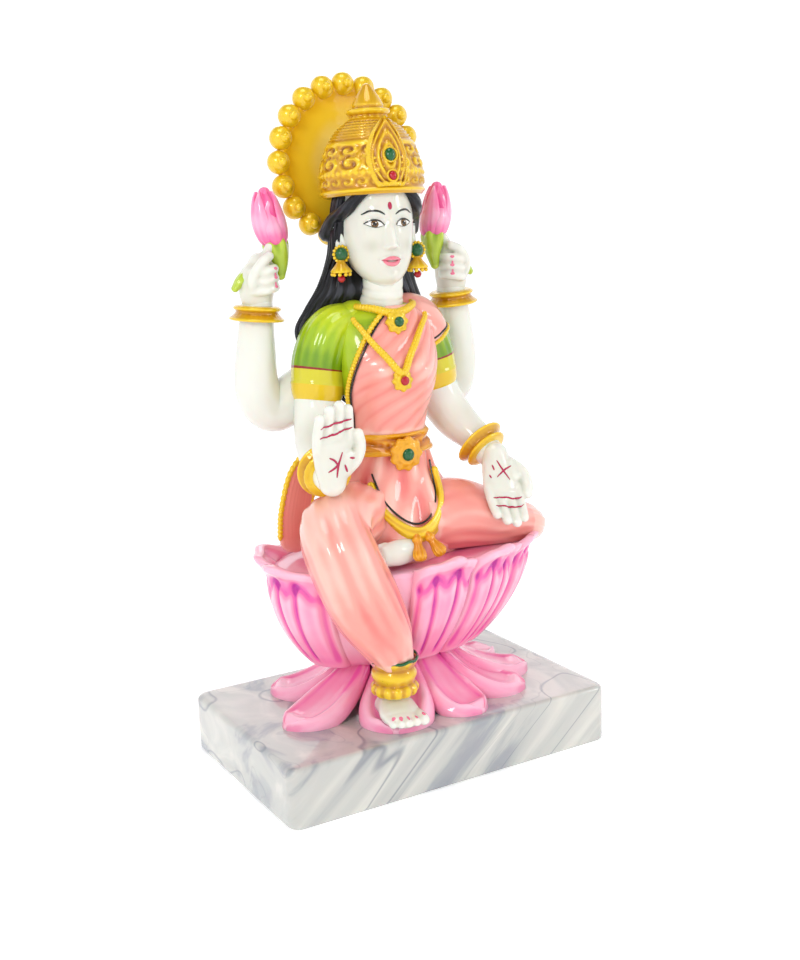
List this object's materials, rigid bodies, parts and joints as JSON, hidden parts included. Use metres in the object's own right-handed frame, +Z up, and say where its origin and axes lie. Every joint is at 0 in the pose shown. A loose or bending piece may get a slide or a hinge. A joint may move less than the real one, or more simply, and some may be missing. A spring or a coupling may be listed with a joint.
{
  "type": "seated four-armed goddess figurine",
  "caption": "Seated four-armed goddess figurine on a lotus seat and rectangular marbled plinth, with a domed crown, a beaded halo disc, raised and lowered palms and held lotus buds.",
  "frame": {"origin": "centre of the plinth's underside, the plane the figurine stands on", "axes": "+Z up through the figure, +X to the figure's left (the viewer's right), the figure faces -Y"},
  "size_m": [0.097, 0.062, 0.18],
  "materials": {
    "marble": "polished grey-veined cast marble, lacquered",
    "petal_pink": "airbrushed pink over cast resin, high-gloss lacquer",
    "cloth_pink": "airbrushed salmon pink over cast resin, high-gloss lacquer",
    "skin": "bare white cast resin, high-gloss lacquer",
    "blouse_green": "leaf-green paint shading darker to the edges, gloss lacquer",
    "leaf_green": "olive-green paint, gloss lacquer",
    "gold": "yellow-gold paint with orange-brown recesses, gloss lacquer",
    "halo_yellow": "yellow paint shading to orange at the rim, gloss lacquer",
    "hair_black": "black paint over modelled strands, gloss lacquer",
    "gem_green": "dark green enamel, gloss",
    "gem_red": "crimson enamel, gloss"
  },
  "bodies": {
    "root": {"plinth": "marble", "lotus_core": "petal_pink", "base_petal_1": "petal_pink", "base_petal_2": "petal_pink", "base_petal_3": "petal_pink", "base_petal_4": "petal_pink", "base_petal_5": "petal_pink", "base_petal_6": "petal_pink", "base_petal_7": "petal_pink", "base_petal_8": "petal_pink", "base_petal_9": "petal_pink", "bowl_petal_1": "petal_pink", "bowl_petal_2": "petal_pink", "bowl_petal_3": "petal_pink", "bowl_petal_4": "petal_pink", "bowl_petal_5": "petal_pink", "bowl_petal_6": "petal_pink", "bowl_petal_7": "petal_pink", "bowl_petal_8": "petal_pink", "bowl_petal_9": "petal_pink", "hips": "cloth_pink", "right_leg": "cloth_pink", "left_leg": "cloth_pink", "right_foot": "skin", "left_foot": "skin", "ankle_cuff": "gold", "torso": "blouse_green", "neck": "skin", "sari_drape": "cloth_pink", "back_shawl": "cloth_pink", "belt": "gold", "belt_buckle": "gold", "waist_sash": "gold", "right_sleeve": "blouse_green", "left_sleeve": "blouse_green", "front_right_arm": "skin", "front_left_arm": "skin", "rear_right_arm": "skin", "rear_left_arm": "skin", "front_right_hand": "skin", "front_left_hand": "skin", "rear_right_hand": "skin", "rear_left_hand": "skin", "front_bangles": "gold", "rear_bangles": "gold", "lotus_buds": "petal_pink", "lotus_stems": "leaf_green", "head": "skin", "hair": "hair_black", "crown": "gold", "crown_finial": "gold", "crown_plaque": "gold", "crown_emerald": "gem_green", "crown_ruby": "gem_red", "halo_disc": "halo_yellow", "halo_beads": "gold", "earrings": "gold", "short_necklace": "gold", "long_necklace": "gold"}
  },
  "joints": []
}
